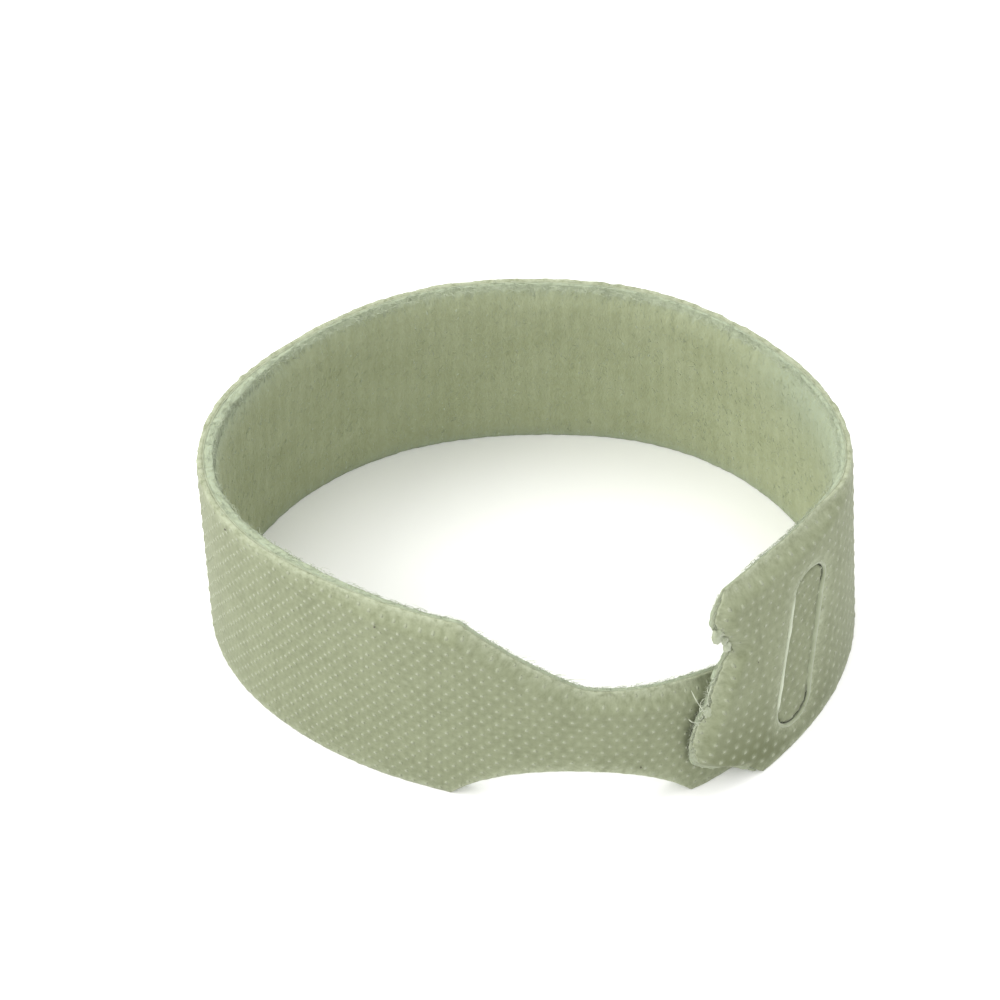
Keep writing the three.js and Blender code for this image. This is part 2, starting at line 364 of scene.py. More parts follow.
def make_object(name, places, blocks, material, values=None, sharp=None):
    """A mesh from (along, across, out) places and blocks of faces with equal corner counts."""
    points = strap_points(places)
    mesh = bpy.data.meshes.new(name)
    mesh.vertices.add(len(points))
    mesh.vertices.foreach_set("co", points.astype(np.float32).ravel())
    corners = np.concatenate([b.ravel() for b in blocks]).astype(np.int32)
    sizes = np.concatenate([np.full(len(b), b.shape[1]) for b in blocks])
    starts = np.concatenate([[0], np.cumsum(sizes)[:-1]]).astype(np.int32)
    mesh.loops.add(len(corners))
    mesh.loops.foreach_set("vertex_index", corners)
    mesh.polygons.add(len(sizes))
    mesh.polygons.foreach_set("loop_start", starts)
    mesh.polygons.foreach_set("use_smooth", np.ones(len(sizes), bool))
    mesh.update(calc_edges=True)
    place = mesh.attributes.new("strap_place", "FLOAT_VECTOR", "POINT")
    place.data.foreach_set("vector", places.astype(np.float32).ravel())
    for key, value in (values or {}).items():
        layer = mesh.attributes.new(key, "FLOAT", "POINT")
        layer.data.foreach_set("value", value.astype(np.float32))
    if sharp is not None:
        ends = np.zeros(len(mesh.edges) * 2, np.int32)
        mesh.edges.foreach_get("vertices", ends)
        is_sharp = sharp[ends.reshape(-1, 2)].all(axis=1)
        layer = mesh.attributes.new("sharp_edge", "BOOLEAN", "EDGE")
        layer.data.foreach_set("value", is_sharp)
    mesh.materials.append(material)
    obj = bpy.data.objects.new(name, mesh)
    bpy.context.scene.collection.objects.link(obj)
    return obj


# Rims of the layers, from outer face to inner: how far through, and how far the rim swells, in mm
HOOK_RIM = ((0.15, 0.05), (0.50, 0.08), (0.97, 0.08))
FILM_RIM = ((0.05, 0.12), (0.95, 0.12))
PILE_RIM = ((0.03, 0.08), (0.35, 0.08), (0.65, 0.07), (0.88, 0.04))


def border_edges(flat):
    """The directed edges of a flat cut that only one face has."""
    n = len(flat.places)
    corners = [(b, k, (k + 1) % b.shape[1]) for b in flat.faces for k in range(b.shape[1])]
    directed = np.vstack([np.stack([b[:, k], b[:, after]], -1) for b, k, after in corners])
    code = directed[:, 0].astype(np.int64) * n + directed[:, 1]
    return directed[~np.isin(code, directed[:, 1].astype(np.int64) * n + directed[:, 0])]


def ply(name, flat, outer, inner, material, rim_shape, fray=0.0):
    """A closed layer over a flat cut: its two faces, and a rounded rim of several rings between them."""
    rings = len(rim_shape) + 1
    n = len(flat.places)
    along, across = flat.places.T
    border = border_edges(flat)
    rim = border[:, 0]
    rim_index = np.full(n, -1)
    rim_index[rim] = np.arange(len(rim))
    on_seam = np.zeros(n, bool)
    for seam in flat.seams:
        on_seam |= np.abs(along - seam) < 1e-6
    step = flat.places[border[:, 1]] - flat.places[border[:, 0]]
    side = np.stack([step[:, 1], -step[:, 0]], -1)
    side /= np.maximum(np.linalg.norm(side, axis=1, keepdims=True), 1e-9)
    outside = np.zeros((len(rim), 2))
    np.add.at(outside, rim_index[border[:, 0]], side)
    np.add.at(outside, rim_index[border[:, 1]], side)
    outside[on_seam[rim], 0] = 0.0
    outside /= np.maximum(np.linalg.norm(outside, axis=1, keepdims=True), 1e-9)
    at_end = np.minimum(across - lower_edge(along), upper_edge(along) - across)[rim] < 1e-4
    free = ~on_seam[rim] | at_end

    face_out, back_out = outer(along, across), inner(along, across)
    places = [np.column_stack([flat.places, face_out]), np.column_stack([flat.places, back_out])]
    s, v = flat.places[rim].T
    for k, (t, bulge) in enumerate(rim_shape):
        swell = bulge + fray * cloud((s + v) / 0.5 + 9 * k, (s - v) / 0.5, 40)
        moved = flat.places[rim] + outside * (swell * free)[:, None]
        places.append(np.column_stack([moved, face_out[rim] * (1 - t) + back_out[rim] * t]))

    chain = [np.arange(n)]
    chain += [2 * n + k * len(rim) + rim_index for k in range(rings - 1)]
    chain += [np.arange(n) + n]
    blocks = [b[:, ::-1] for b in flat.faces] + [b + n for b in flat.faces]
    a, b = border.T
    for near, far in zip(chain, chain[1:]):
        blocks.append(np.stack([far[b], far[a], near[a], near[b]], -1))

    on_rim = np.zeros(len(rim) * (rings - 1))
    inward = np.maximum(from_edge(along, across), 0)
    below_top = np.maximum(upper_edge(along) - across, 0)
    nap_width = 2.4 + 4.5 * smooth((along - 92) / 20)
    napped = np.exp(-((below_top / nap_width) ** 2)) * (1 - 0.75 * ring_back(along))
    pile_edge = np.maximum(napped, np.exp(-inward / 0.9))
    edge = np.concatenate([np.exp(-inward / 0.7), pile_edge] + [free * 1.0] * (rings - 1))
    dots = np.concatenate([hook_lattice(along, across), pile_teeth(along, across), on_rim])
    sharp = np.concatenate([on_seam, on_seam, on_rim > 0])
    return make_object(name, np.vstack(places), blocks, material, {"edge": edge, "dots": dots}, sharp)


def tubes(paths, radii, sides, turned=0.0):
    """Closed tubes along (count, points, 3) paths: places, faces, and how far along its tube each is."""
    count, steps, _ = paths.shape
    radii = np.broadcast_to(radii, (count, steps))
    tangent = np.gradient(paths, axis=1)
    tangent /= np.maximum(np.linalg.norm(tangent, axis=2, keepdims=True), 1e-9)
    reference = np.where(np.abs(tangent[..., :1]) < 0.8, [1.0, 0, 0], [0, 0, 1.0])
    first = np.cross(tangent, reference)
    first /= np.maximum(np.linalg.norm(first, axis=2, keepdims=True), 1e-9)
    second = np.cross(tangent, first)
    angle = turned + np.arange(sides) / sides * 2 * math.pi
    ring = first[:, :, None] * np.cos(angle)[:, None] + second[:, :, None] * np.sin(angle)[:, None]
    places = paths[:, :, None] + ring * radii[:, :, None, None]
    base = (np.arange(count) * steps * sides)[:, None, None]
    k, j = np.meshgrid(np.arange(steps - 1), np.arange(sides), indexing="ij")
    here, after = k * sides + j, k * sides + (j + 1) % sides
    quads = np.stack([here, after, after + sides, here + sides], -1).reshape(1, -1, 4) + base
    start = np.arange(sides)[::-1].reshape(1, 1, sides) + base
    end = (np.arange(sides) + (steps - 1) * sides).reshape(1, 1, sides) + base
    blocks = [quads.reshape(-1, 4), np.vstack([start.reshape(-1, sides), end.reshape(-1, sides)])]
    share = np.broadcast_to(np.linspace(0, 1, steps)[None, :, None], (count, steps, sides))
    return places.reshape(-1, 3), blocks, share.ravel()


def tube_object(name, paths, radii, sides, material, pale):
    places, blocks, _ = tubes(paths, radii, sides)
    pale = np.broadcast_to(pale, len(paths))
    return make_object(name, places, blocks, material, {"pale": np.repeat(pale, len(places) // len(paths))})


def ball_angles(sides, rings, pole):
    """Tilts and turns of the rings on a ball, which stop short of its poles."""
    tilt = np.linspace(pole, math.pi - pole, rings)
    turn = np.arange(sides) / sides * 2 * math.pi
    return np.meshgrid(tilt, turn, indexing="ij")


def blob_object(name, blobs, material, pale):
    """One mesh of closed blobs, each a (rings, sides, 3) grid of places, with how pale each one is."""
    rings, sides, _ = blobs[0].shape
    each = rings * sides
    i, j = np.meshgrid(np.arange(rings - 1), np.arange(sides), indexing="ij")
    here, after = (i * sides + j).ravel(), (i * sides + (j + 1) % sides).ravel()
    quads = np.stack([here, here + sides, after + sides, after], -1)
    caps = np.stack([np.arange(sides), np.arange(sides)[::-1] + (rings - 1) * sides])
    blocks = [np.vstack([block + number * each for number in range(len(blobs))]) for block in (quads, caps)]
    places = np.vstack([blob.reshape(-1, 3) for blob in blobs])
    return make_object(name, places, blocks, material, {"pale": np.repeat(pale, each)})


# ------------ materials


def node(tree, kind, inputs=None, **settings):
    made = tree.nodes.new(kind)
    for key, value in settings.items():
        setattr(made, key, value)
    for key, value in (inputs or {}).items():
        if isinstance(value, bpy.types.NodeSocket):
            tree.links.new(value, made.inputs[key])
        else:
            made.inputs[key].default_value = value
    return made


def attribute(tree, name):
    made = node(tree, "ShaderNodeAttribute", attribute_name=name)
    return made.outputs["Vector" if name == "strap_place" else "Fac"]


def blend_colour(tree, share, first, second):
    made = node(tree, "ShaderNodeMix", data_type="RGBA")
    for socket, value in ((made.inputs[0], share), (made.inputs[6], first), (made.inputs[7], second)):
        if isinstance(value, bpy.types.NodeSocket):
            tree.links.new(value, socket)
        else:
            socket.default_value = value
    return made.outputs[2]


def remap(tree, value, low, high, to_low=0.0, to_high=1.0):
    made = node(tree, "ShaderNodeMapRange", {0: value, 1: low, 2: high, 3: to_low, 4: to_high})
    return made.outputs[0]


def maths(tree, operation, a, b):
    return node(tree, "ShaderNodeMath", {0: a, 1: b}, operation=operation).outputs[0]


def clouds(tree, vector, scale, detail=3.0, rough=0.55):
    inputs = {"Vector": vector, "Scale": scale, "Detail": detail, "Roughness": rough}
    return node(tree, "ShaderNodeTexNoise", inputs).outputs["Fac"]


def stretched(tree, vector, scale):
    return node(tree, "ShaderNodeMapping", {"Vector": vector, "Scale": scale}).outputs["Vector"]


def waves(tree, vector, pitch, direction, distortion=1.0):
    made = node(
        tree,
        "ShaderNodeTexWave",
        {"Vector": vector, "Scale": 2 * math.pi / 20 / pitch, "Distortion": distortion, "Detail": 2.0},
        wave_type="BANDS",
        bands_direction=direction,
    )
    return made.outputs["Fac"]


def rgb(red, green, blue):
    """A colour given as sRGB values from 0 to 255."""
    linear = [((c / 255 + 0.055) / 1.055) ** 2.4 for c in (red, green, blue)]
    return (*linear, 1.0)


def new_material(name, **constants):
    material = bpy.data.materials.new(name)
    material.use_nodes = True
    shader = material.node_tree.nodes["Principled BSDF"]
    for key, value in constants.items():
        shader.inputs[key.replace("_", " ")].default_value = value
    return material, material.node_tree, shader


def set_bump(tree, shader, height, strength, distance):
    made = node(tree, "ShaderNodeBump", {"Height": height, "Strength": strength, "Distance": distance})
    tree.links.new(made.outputs["Normal"], shader.inputs["Normal"])


def hook_cloth_material():
    material, tree, shader = new_material(
        "hook_tape", Sheen_Weight=0.12, Sheen_Roughness=0.5, Specular_IOR_Level=0.15
    )
    place = attribute(tree, "strap_place")
    mottle = clouds(tree, place, 0.16, 4.0)
    speckle = clouds(tree, place, 1.6, 3.0, 0.7)
    warps = waves(tree, place, HOOK_PITCH / 2, "X", 0.6)
    creases = remap(tree, waves(tree, place, 3 * HOOK_PITCH, "X", 0.4), 0.94, 1.0, 0.0, 0.22)
    colour = blend_colour(tree, remap(tree, mottle, 0.3, 0.7), rgb(114, 120, 92), rgb(123, 129, 101))
    colour = blend_colour(tree, remap(tree, speckle, 0.40, 0.75, 0.0, 0.55), colour, rgb(138, 144, 117))
    colour = blend_colour(tree, remap(tree, speckle, 0.25, 0.45, 0.35, 0.0), colour, rgb(103, 108, 82))
    colour = blend_colour(tree, remap(tree, warps, 0.0, 1.0, 0.0, 0.10), colour, rgb(103, 108, 82))
    colour = blend_colour(tree, creases, colour, rgb(103, 108, 82))
    # Painted shade: the head's hook cloth darkens towards its lower edge, where shade falls.
    parts = node(tree, "ShaderNodeSeparateXYZ", {"Vector": place})
    on_head, low = remap(tree, parts.outputs["X"], 126, 140), remap(tree, parts.outputs["Y"], 3, 11, 1, 0)
    low = maths(tree, "MULTIPLY", on_head, low)
    painted_shade = maths(tree, "MULTIPLY", low, remap(tree, mottle, 0.3, 0.7, 0.75, 1.0))
    colour = blend_colour(tree, painted_shade, colour, rgb(94, 100, 70))
    dots = remap(tree, attribute(tree, "dots"), 0.05, 0.8, 0.0, 0.62)
    colour = blend_colour(tree, dots, colour, rgb(142, 148, 123))
    frayed = maths(tree, "MULTIPLY", attribute(tree, "edge"), remap(tree, speckle, 0.32, 0.66, 0.2, 1.0))
    colour = blend_colour(tree, frayed, colour, rgb(160, 166, 142))
    tree.links.new(colour, shader.inputs["Base Color"])
    tree.links.new(remap(tree, speckle, 0.2, 0.8, 0.75, 0.95), shader.inputs["Roughness"])
    weave = maths(tree, "ADD", maths(tree, "MULTIPLY", warps, 0.5), speckle)
    set_bump(tree, shader, weave, 0.4, 0.00006)
    return material


def hook_material():
    material, tree, shader = new_material("hook_tips", Sheen_Weight=0.1, Specular_IOR_Level=0.25)
    place = attribute(tree, "strap_place")
    speckle = clouds(tree, place, 2.6, 2.0)
    colour = blend_colour(tree, remap(tree, speckle, 0.3, 0.7), rgb(136, 142, 117), rgb(150, 156, 132))
    foot = remap(tree, attribute(tree, "share"), 0.1, 0.5, 0.8, 0.0)
    colour = blend_colour(tree, foot, colour, rgb(129, 134, 110))
    tree.links.new(colour, shader.inputs["Base Color"])
    tree.links.new(remap(tree, speckle, 0.2, 0.8, 0.5, 0.7), shader.inputs["Roughness"])
    set_bump(tree, shader, speckle, 0.15, 0.00004)
    return material


def film_material():
    material, tree, shader = new_material("bond_film", Specular_IOR_Level=0.3)
    place = attribute(tree, "strap_place")
    ripple = clouds(tree, place, 1.4, 3.0)
    colour = blend_colour(tree, remap(tree, ripple, 0.3, 0.7), rgb(142, 149, 124), rgb(158, 165, 140))
    tree.links.new(colour, shader.inputs["Base Color"])
    tree.links.new(remap(tree, ripple, 0.2, 0.8, 0.35, 0.6), shader.inputs["Roughness"])
    set_bump(tree, shader, ripple, 0.3, 0.00005)
    return material


def pile_cloth_material():
    material, tree, shader = new_material(
        "pile_tape", Sheen_Weight=0.25, Sheen_Roughness=0.45, Specular_IOR_Level=0.12
    )
    shader.inputs["Sheen Tint"].default_value = rgb(202, 210, 189)
    place = attribute(tree, "strap_place")
    mottle = clouds(tree, place, 0.22, 4.0)
    fuzz = clouds(tree, stretched(tree, place, (3.4, 1.1, 3.0)), 1.0, 4.0, 0.7)
    ribs = waves(tree, place, RIB_PITCH, "X", 1.5)
    colour = blend_colour(tree, remap(tree, mottle, 0.3, 0.7), rgb(146, 152, 118), rgb(157, 163, 131))
    colour = blend_colour(tree, remap(tree, fuzz, 0.35, 0.75, 0.0, 0.5), colour, rgb(172, 180, 151))
    colour = blend_colour(tree, remap(tree, ribs, 0.0, 1.0, 0.0, 0.14), colour, rgb(125, 131, 98))
    frayed = maths(tree, "MULTIPLY", attribute(tree, "edge"), remap(tree, fuzz, 0.3, 0.7, 0.35, 1.0))
    colour = blend_colour(tree, frayed, colour, rgb(155, 166, 146))
    notches = remap(tree, attribute(tree, "dots"), 0.1, 0.8, 0.0, 0.75)
    colour = blend_colour(tree, notches, colour, rgb(172, 181, 156))
    tree.links.new(colour, shader.inputs["Base Color"])
    tree.links.new(remap(tree, fuzz, 0.2, 0.8, 0.8, 1.0), shader.inputs["Roughness"])
    set_bump(tree, shader, fuzz, 0.7, 0.00015)
    return material


def fibre_material(name, dark, light, specular=0.2):
    material, tree, shader = new_material(name, Sheen_Weight=0.3, Specular_IOR_Level=specular)
    place = attribute(tree, "strap_place")
    tone = clouds(tree, place, 0.9, 2.0)
    share = maths(tree, "ADD", attribute(tree, "pale"), remap(tree, tone, 0.3, 0.7, -0.2, 0.2))
    tree.links.new(blend_colour(tree, remap(tree, share, 0.0, 1.0), dark, light), shader.inputs["Base Color"])
    tree.links.new(remap(tree, tone, 0.2, 0.8, 0.6, 0.9), shader.inputs["Roughness"])
    set_bump(tree, shader, tone, 0.1, 0.00002)
    return material


HOOK_CLOTH = hook_cloth_material()
HOOK_TIPS = hook_material()
FILM = film_material()
PILE_CLOTH = pile_cloth_material()
PILE_FIBRE = fibre_material("pile_fibre", rgb(148, 156, 125), rgb(168, 178, 154))
TORN_FIBRE = fibre_material("torn_fibre", rgb(138, 145, 119), rgb(180, 187, 165), 0.25)
DIRT = fibre_material("dirt", rgb(66, 66, 50), rgb(96, 96, 76))


# ------------ surfaces of the two tapes


WEAVE_ALONG = np.arange(WEAVE[0, 0], WEAVE[-1, 0] + 0.1, 0.1)
WEAVE_PITCH, WEAVE_CLIMB, WEAVE_HEIGHT, WEAVE_LEAN = (
    np.interp(WEAVE_ALONG, WEAVE[:, 0], WEAVE[:, k]) for k in range(1, 5)
)
WEAVE_COLUMN = np.cumsum(0.1 / WEAVE_PITCH)
WEAVE_DRIFT = np.cumsum(0.1 * WEAVE_CLIMB)


def woven(along, row, column):
    """How high a row lies above the lower rim, and how many columns the weave leans by there."""
    across = np.interp(along, WEAVE_ALONG, WEAVE_DRIFT) + row * np.interp(along, WEAVE_ALONG, WEAVE_HEIGHT)
    lean = np.interp(along, WEAVE_ALONG, WEAVE_LEAN / WEAVE_PITCH)
    return across, column + lean * across


def hook_lattice(along, across):
    """How near a place is to a hook's foot: 1 on it, 0 well away."""
    drift, height = np.interp(along, WEAVE_ALONG, WEAVE_DRIFT), np.interp(along, WEAVE_ALONG, WEAVE_HEIGHT)
    lean = np.interp(along, WEAVE_ALONG, WEAVE_LEAN / WEAVE_PITCH)
    row = (across - drift) / height
    nearest = np.round(row)
    column = np.interp(along, WEAVE_ALONG, WEAVE_COLUMN) - lean * across - 0.5 * np.mod(nearest, 2)
    u, v = (column - np.round(column)) * HOOK_PITCH, (row - nearest) * height
    return np.exp(-((u / HOOK_DOT[0]) ** 2 + (v / HOOK_DOT[1]) ** 2))


def hook_face(along, across):
    """The woven face: a small rise under each hook, and worn down along its upper edge."""
    relief = 0.05 * hook_lattice(along, across) + 0.04 * cloud(along / 0.7, across / 0.7, 3)
    worn = 0.12 + 0.16 * cloud(along / 0.9, across / 0.9, 17)
    return HOOK_FACE + relief - 0.03 - worn * np.exp(-(upper_edge(along) - across) / 0.4)


def rib(along, across):
    """The pile's wales: 1 along the ridge of each, 0 in the groove between."""
    wander = 0.12 * noise(along / 6, across / 5, 11)
    u = along / RIB_PITCH + wander
    return np.abs(np.sin(math.pi * u)) ** 0.6


def past_left_side(along):
    """0 at the front and left, 1 from where the ring's back begins."""
    return smooth((along - 42) / 14)


def ring_back(along):
    """1 at the ring's back, 0 at its sides and front."""
    return past_left_side(along) * smooth((112 - along) / 10)


def pile_teeth(along, across):
    """1 along the very top of the ring's back and in the notches between its wales, 0 elsewhere."""
    depth = 0.35 + (0.9 + 0.5 * noise(along / 2.2, 0 * across, 14)) * (1 - rib(along, across))
    return smooth(0.5 + (depth - (upper_edge(along) - across)) / 0.5) * ring_back(along)


def pile_face(along, across):
    """The brushed face. Its wales end in teeth at the top of the ring's back, and it thins at the top."""
    relief = 0.05 * (rib(along, across) - 0.5)
    relief = relief + 0.07 * cloud(along / 0.8, across / 1.5, 5) + 0.05 * cloud(along / 3.5, across / 5, 8, 2)
    beyond = past_left_side(along)
    near_top = np.exp(-(((upper_edge(along) - across) / (1.5 + 0.5 * beyond)) ** 2))
    thinned = (0.42 + 0.38 * beyond + 0.10 * cloud(along / 1.3, across / 1.3, 19)) * near_top
    return PILE_FACE - relief + np.minimum(0.26 * pile_teeth(along, across) + thinned, MOST_THINNED)


def level(value):
    return lambda along, across: np.full_like(along, value)


# ------------ hooks and fibres

# One hook seen from its side, as (across, out, half thickness, half width): a stem that bends over
HOOK_SHAPE = np.array(
    [
        (0.00, -0.11, 0.060, 0.110),
        (0.04, -0.06, 0.055, 0.140),
        (0.12, -0.035, 0.050, 0.170),
        (0.22, -0.030, 0.048, 0.170),
        (0.32, -0.050, 0.045, 0.140),
        (0.39, -0.09, 0.035, 0.090),
    ]
)


def hook_places(start, end, rng):
    """Feet of the hooks on one stretch, in staggered rows."""
    columns = np.interp([start, end], WEAVE_ALONG, WEAVE_COLUMN)
    drifts = np.interp([start, end], WEAVE_ALONG, WEAVE_DRIFT)
    i, j = np.meshgrid(
        np.arange(math.floor(columns[0]) - 8, math.ceil(columns[1]) + 3),
        np.arange(math.floor(-drifts[1]) - 1, math.ceil(WIDTH - drifts[0]) + 1),
        indexing="ij",
    )
    column, row = i.ravel() + 0.5 * np.mod(j.ravel(), 2), j.ravel()
    along = np.interp(column, WEAVE_COLUMN, WEAVE_ALONG)
    for _ in range(12):
        across, leaned = woven(along, row, column)
        along = np.interp(leaned, WEAVE_COLUMN, WEAVE_ALONG)
    jitter = rng.normal(0, 0.04, (len(along), 2))
    missing = rng.random(len(along)) < 0.015
    inside = (along >= start) & (along < end) & (from_edge(along, across) > 0.18) & ~missing
    return (along + jitter[:, 0])[inside], (across + jitter[:, 1])[inside], i.ravel()[inside]


def hooks(name, start, end, seed):
    rng = np.random.default_rng(seed)
    along, across, column = hook_places(start, end, rng)
    count, steps = len(along), len(HOOK_SHAPE)
    toward = np.where(column % 2 == 0, 1.0, -1.0) * rng.uniform(0.85, 1.15, count)
    tall = rng.uniform(0.88, 1.1, count)
    tip = rng.normal(0, 0.10, count)
    paths = np.zeros((count, steps, 3))
    paths[..., 0] = along[:, None] + tip[:, None] * HOOK_SHAPE[:, 1]
    paths[..., 1] = across[:, None] - 0.2 * toward[:, None] + toward[:, None] * HOOK_SHAPE[:, 0]
    foot = hook_face(along, across)
    paths[..., 2] = foot[:, None] + tall[:, None] * HOOK_SHAPE[:, 1]
    radii = HOOK_SHAPE[:, 2] * math.sqrt(2)
    wide = HOOK_SHAPE[:, 3] / HOOK_SHAPE[:, 2]
    places, blocks, share = tubes(paths, radii, 4, turned=math.pi / 4)
    centre = np.repeat(paths.reshape(-1, 3), 4, axis=0)
    sideways = np.tile(np.repeat(wide, 4), count)
    places[:, 0] = centre[:, 0] + (places[:, 0] - centre[:, 0]) * sideways
    return make_object(name, places, blocks, HOOK_TIPS, {"share": share})


def arcs(start, heading, length, height, steps, rng, droop):
    """Fibres that leave the pile's face, rise off it and come back, each with its own bend."""
    t = np.linspace(0, 1, steps)
    forward = length[:, None] * t
    bend = rng.normal(0, 0.22, len(start))[:, None] * length[:, None] * np.sin(math.pi * t)
    turn_sin, turn_cos = np.sin(heading)[:, None], np.cos(heading)[:, None]
    along = start[:, :1] + forward * turn_sin + bend * turn_cos
    across = start[:, 1:2] + forward * turn_cos - bend * turn_sin
    rise = height[:, None] * (np.sin(math.pi * t) + droop * t) - 0.04
    return np.stack([along, across, pile_face(along, across) - rise], -1)


def pile_fibres(name, start, end, density, seed):
    rng = np.random.default_rng(seed)
    count = int(density * (end - start) * WIDTH)
    place = np.column_stack([rng.uniform(start, end, count), rng.uniform(0, WIDTH, count)])
    heading = rng.normal(0, 0.4, count) + np.where(rng.random(count) < 0.5, math.pi, 0.0)
    length = rng.uniform(0.45, 1.35, count)
    tip = place + np.column_stack([np.sin(heading), np.cos(heading)]) * length[:, None]
    inside = (from_edge(*place.T) > 0.12) & (from_edge(*tip.T) > -0.1)
    inside &= (tip[:, 0] > start) & (tip[:, 0] < end)
    place, heading, length = place[inside], heading[inside], length[inside]
    height = rng.uniform(0.02, 0.07, len(place))
    loose = np.where(rng.random(len(place)) < 0.06, 1.2, 0.0)[:, None]
    paths = arcs(place, heading, length, height, 5, rng, loose)
    radii = rng.uniform(0.012, 0.020, len(place))[:, None] * np.array([0.8, 1, 1, 1, 0.6])
    return tube_object(name, paths, radii, 3, PILE_FIBRE, rng.random(len(place)))


RIM_FIBRE_TAPER = np.array([1, 1, 1, 0.9, 0.8, 0.5])


def within(paths, start, end, lowest):
    """Which paths stay on a stretch and above a height."""
    along, across = paths[..., 0], paths[..., 1]
    return (across.min(axis=1) > lowest) & (along.min(axis=1) > start) & (along.max(axis=1) < end)


def rim_fuzz(name, start, end, density, seed):
    """Short cut fibres on the strap's rims: some stand out of the cut, and most lie over it."""
    rng = np.random.default_rng(seed)
    count = int(density * (end - start))
    along = rng.uniform(start, end, count)
    top = rng.random(count) < 0.85
    across = np.where(top, upper_edge(along), lower_edge(along))
    out = rng.uniform(PILE_FACE + 0.25, HOOK_FACE - 0.15, count)
    out = np.where(rng.random(count) < 0.8, rng.uniform(PILE_FACE + 0.25, PILE_BACK + 0.1, count), out)
    length = rng.uniform(0.25, 0.9, count)
    standing = rng.random(count) ** 3
    t = np.linspace(0, 1, 6)
    side = np.where(top, 1.0, -1.0)
    sway, curl = rng.normal(0, 0.7, (2, count))
    inward = rng.uniform(-0.2, 0.75, count)
    paths = np.zeros((count, 6, 3))
    paths[..., 0] = along[:, None] + (sway * length)[:, None] * t + (curl * length)[:, None] * t**2
    rise = 0.05 + (0.10 + 0.35 * standing * length)[:, None] * np.sin(2.6 * t)
    paths[..., 1] = across[:, None] + side[:, None] * (rise - 0.10 * t)
    paths[..., 2] = out[:, None] - (inward * length)[:, None] * t**1.5
    keep = within(paths, start, end, 0.04)
    radii = rng.uniform(0.012, 0.026, count)[:, None] * RIM_FIBRE_TAPER
    nap, nap_radii = rim_nap(start, end, 0.35 * density, rng)
    paths, radii = np.vstack([paths[keep], nap]), np.vstack([radii[keep], nap_radii])
    return tube_object(name, paths, radii, 3, PILE_FIBRE, rng.uniform(0.3, 1.0, len(paths)))


def rim_nap(start, end, density, rng):
    """Napped fibres that start on the pile's upper rim and lie over it, down the strap's inner face."""
    count = int(density * (end - start))
    along = rng.uniform(start, end, count)
    along = along[rng.random(count) < 1 - 0.9 * smooth((along - 40) / 14)]
    count, top = len(along), upper_edge(along)
    t = np.linspace(0, 1, 6)
    length = rng.uniform(0.5, 1.5, count)[:, None]
    sway, curl = rng.normal(0, 0.45, (2, count, 1))
    loft = rng.uniform(0.02, 0.22, count)[:, None] * np.sin(math.pi * t)
    paths = np.zeros((count, 6, 3))
    paths[..., 0] = along[:, None] + length * (sway * t + curl * t**2)
    paths[..., 1] = top[:, None] + 0.06 - 0.95 * length * t + 0.25 * loft
    start_out = rng.uniform(PILE_FACE + 0.15, PILE_BACK, count)[:, None]
    face = pile_face(paths[..., 0], np.minimum(paths[..., 1], upper_edge(paths[..., 0])))
    over = smooth(2.5 * t)
    paths[..., 2] = start_out * (1 - over) + (face - 0.01 - loft) * over
    paths = paths[within(paths, start, end, 0.3)]
    return paths, rng.uniform(0.014, 0.026, len(paths))[:, None] * RIM_FIBRE_TAPER


def knots(name, start, end, seed):
    """Small pale loops caught in the pile, thinly over its face and in a row above its lower rim."""
    rng = np.random.default_rng(seed)
    columns = np.arange(math.ceil(start / RIB_PITCH), math.floor(end / RIB_PITCH) + 1) * RIB_PITCH
    grid_along, grid_across = np.meshgrid(columns, np.arange(1.9, WIDTH - 1.5, 1.05), indexing="ij")
    chosen = rng.random(grid_along.shape) < 0.22
    along = np.concatenate([grid_along[chosen], columns])
    across = np.concatenate([grid_across[chosen], lower_edge(columns) + 0.9])
    along = along + rng.normal(0, 0.14, len(along))
    across = across + rng.normal(0, 0.16, len(across))
    inside = (from_edge(along, across) > 0.5) & (along > start + 0.3) & (along < end - 0.3)
    along, across = along[inside], across[inside]
    size = rng.uniform(0.10, 0.26, len(along))
    t = np.linspace(-1, 1, 5)
    paths = np.zeros((len(along), 5, 3))
    paths[..., 0] = along[:, None] + rng.normal(0, 0.25, len(along))[:, None] * size[:, None] * t
    paths[..., 1] = across[:, None] + size[:, None] * t
    paths[..., 2] = pile_face(paths[..., 0], paths[..., 1]) - 0.01 * (1 - t**2) + 0.04
    radii = size[:, None] * np.array([0.14, 0.32, 0.40, 0.32, 0.14])
    return tube_object(name, paths, radii, 5, PILE_FIBRE, rng.uniform(0.45, 1.0, len(along)))


# ------------ the torn end and the slot


def torn_fibres(name, seed):
    """Pulled threads along the torn edge: short ones everywhere, and longer ones where it is most ragged."""
    rng = np.random.default_rng(seed)
    count, steps = 900, 7
    across = rng.uniform(0.4, WIDTH - 0.4, count)
    edge = torn_edge(across)
    t = np.linspace(0, 1, steps)
    ragged = np.exp(-(((across - 12.5) / 3.2) ** 2))
    length = rng.uniform(0.15, 0.45, count) * (1 + 1.1 * ragged)
    sway = rng.normal(0, 0.6, count)
    out = rng.uniform(-0.8, 0.72, count)
    paths = np.zeros((count, steps, 3))
    paths[..., 0] = edge[:, None] - 0.25 + length[:, None] * np.sin(1.4 * t) * 1.1
    paths[..., 1] = across[:, None] + (sway * length)[:, None] * t**2
    paths[..., 2] = out[:, None] + rng.normal(0, 0.25, count)[:, None] * length[:, None] * t
    radii = rng.uniform(0.014, 0.03, count)[:, None] * np.linspace(1, 0.5, steps)
    return tube_object(name, paths, radii, 3, TORN_FIBRE, rng.random(count))


